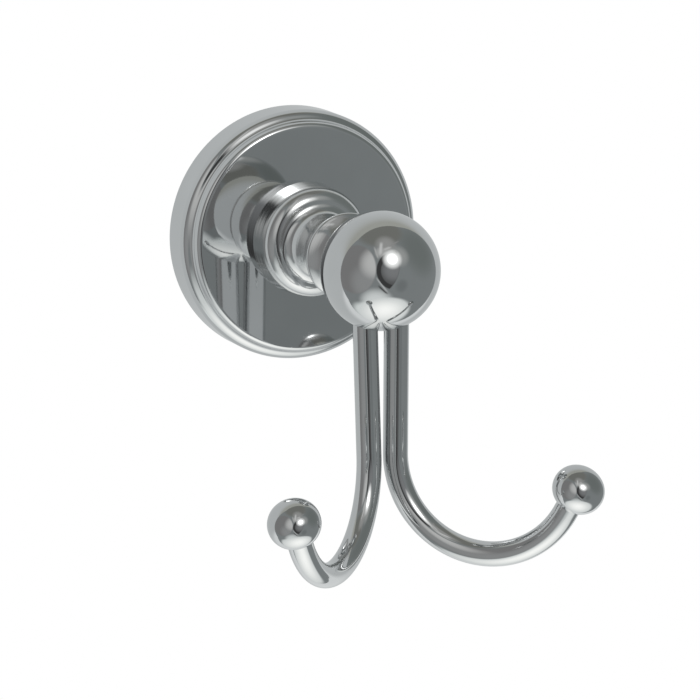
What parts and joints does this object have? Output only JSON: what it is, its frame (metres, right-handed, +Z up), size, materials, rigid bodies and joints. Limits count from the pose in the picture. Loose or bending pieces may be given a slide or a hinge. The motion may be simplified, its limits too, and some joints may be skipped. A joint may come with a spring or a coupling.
{
  "type": "robe hook",
  "caption": "Polished chrome wall robe hook: round ogee-rimmed flange, turned post and large ball, with bent rods that curl forward and outward into hooks with small ball ends.",
  "frame": {"origin": "centre of the bracket's and flange's back, on the wall plane", "axes": "+Z up, X across the hook, the hook stands out of the wall along -Y"},
  "size_m": [0.0876, 0.0987, 0.1047],
  "materials": {
    "flange_chrome": "mirror polished",
    "post_chrome": "mirror polished",
    "ball_chrome": "mirror polished",
    "rod_chrome": "mirror polished",
    "knob_chrome": "mirror polished",
    "bracket_steel": "plain zinc-plated",
    "screw_steel": "satin"
  },
  "bodies": {
    "root": {"wall_flange": "flange_chrome", "post": "post_chrome", "hub_ball": "ball_chrome", "right_hook": "rod_chrome", "left_hook": "rod_chrome", "right_knob": "knob_chrome", "left_knob": "knob_chrome", "wall_bracket": "bracket_steel", "set_screw": "screw_steel", "post_screw": "screw_steel"}
  },
  "joints": []
}
